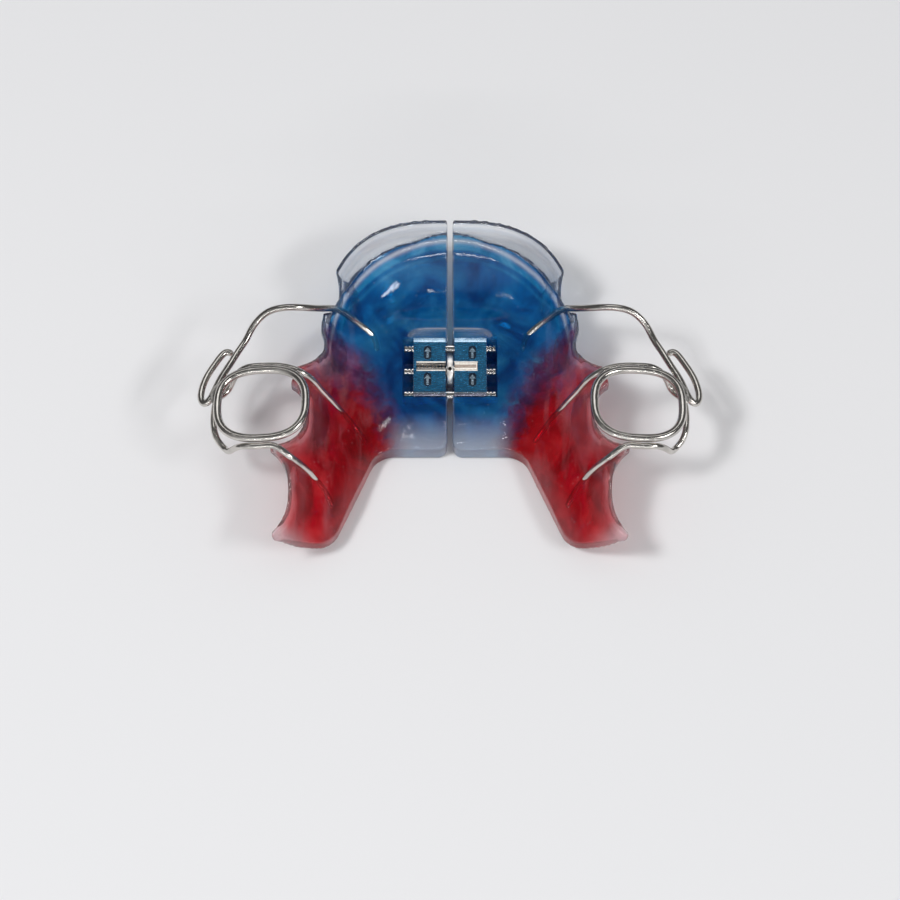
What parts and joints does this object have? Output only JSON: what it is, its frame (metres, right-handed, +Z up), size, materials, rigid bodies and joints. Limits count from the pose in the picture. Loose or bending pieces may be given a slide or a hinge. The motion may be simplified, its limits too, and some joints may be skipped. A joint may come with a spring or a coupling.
{
  "type": "palatal expander",
  "caption": "Removable palatal expander: split moulded acrylic plate with a midline expansion screw, closed wire rings, clasps and looped front arms.",
  "frame": {"origin": "on the midline, halfway along the plate, level with the flat middle of the underside", "axes": "+X to the right as seen from the tongue side with the front up, +Y to the front of the arch, +Z up to the tongue side"},
  "size_m": [0.0552, 0.0388, 0.0115],
  "materials": {
    "acrylic": "glossy translucent cast acrylic, blue and red with a clear front band",
    "blue_metal": "blue coated metal with bright bevels",
    "steel": "polished stainless steel",
    "solder": "flowed silver solder",
    "insert": "smooth pale plastic"
  },
  "bodies": {
    "screw_core": {"guide_pin_front": "steel", "guide_pin_rear": "steel"},
    "spindle": {"spindle": "steel"},
    "left_half": {"plate_left": "acrylic", "screw_housing_left": "blue_metal", "clasp_ring_left": "steel", "arrow_clasp_left": "steel", "front_arm_left": "steel", "solder_bead_left": "solder"},
    "right_half": {"plate_right": "acrylic", "screw_housing_right": "blue_metal", "friction_insert": "insert", "clasp_ring_right": "steel", "arrow_clasp_right": "steel", "front_arm_right": "steel", "solder_bead_right": "solder"}
  },
  "joints": [
    {"name": "spindle_turn", "type": "hinge", "parent": "screw_core", "child": "spindle", "pos_m": [0, 0.0033, 0.00271], "axis": [1, 0, 0], "range_deg": [0, 2250]},
    {"name": "left_slide", "type": "slide", "parent": "screw_core", "child": "left_half", "axis": [-1, 0, 0], "range_m": [0, 0.0025]},
    {"name": "right_slide", "type": "slide", "parent": "screw_core", "child": "right_half", "axis": [1, 0, 0], "range_m": [0, 0.0025]}
  ],
  "couplings": [
    {"joint": "right_slide", "follows": "left_slide", "ratio": 1},
    {"joint": "spindle_turn", "follows": "left_slide", "rad_per_m": 15708}
  ]
}
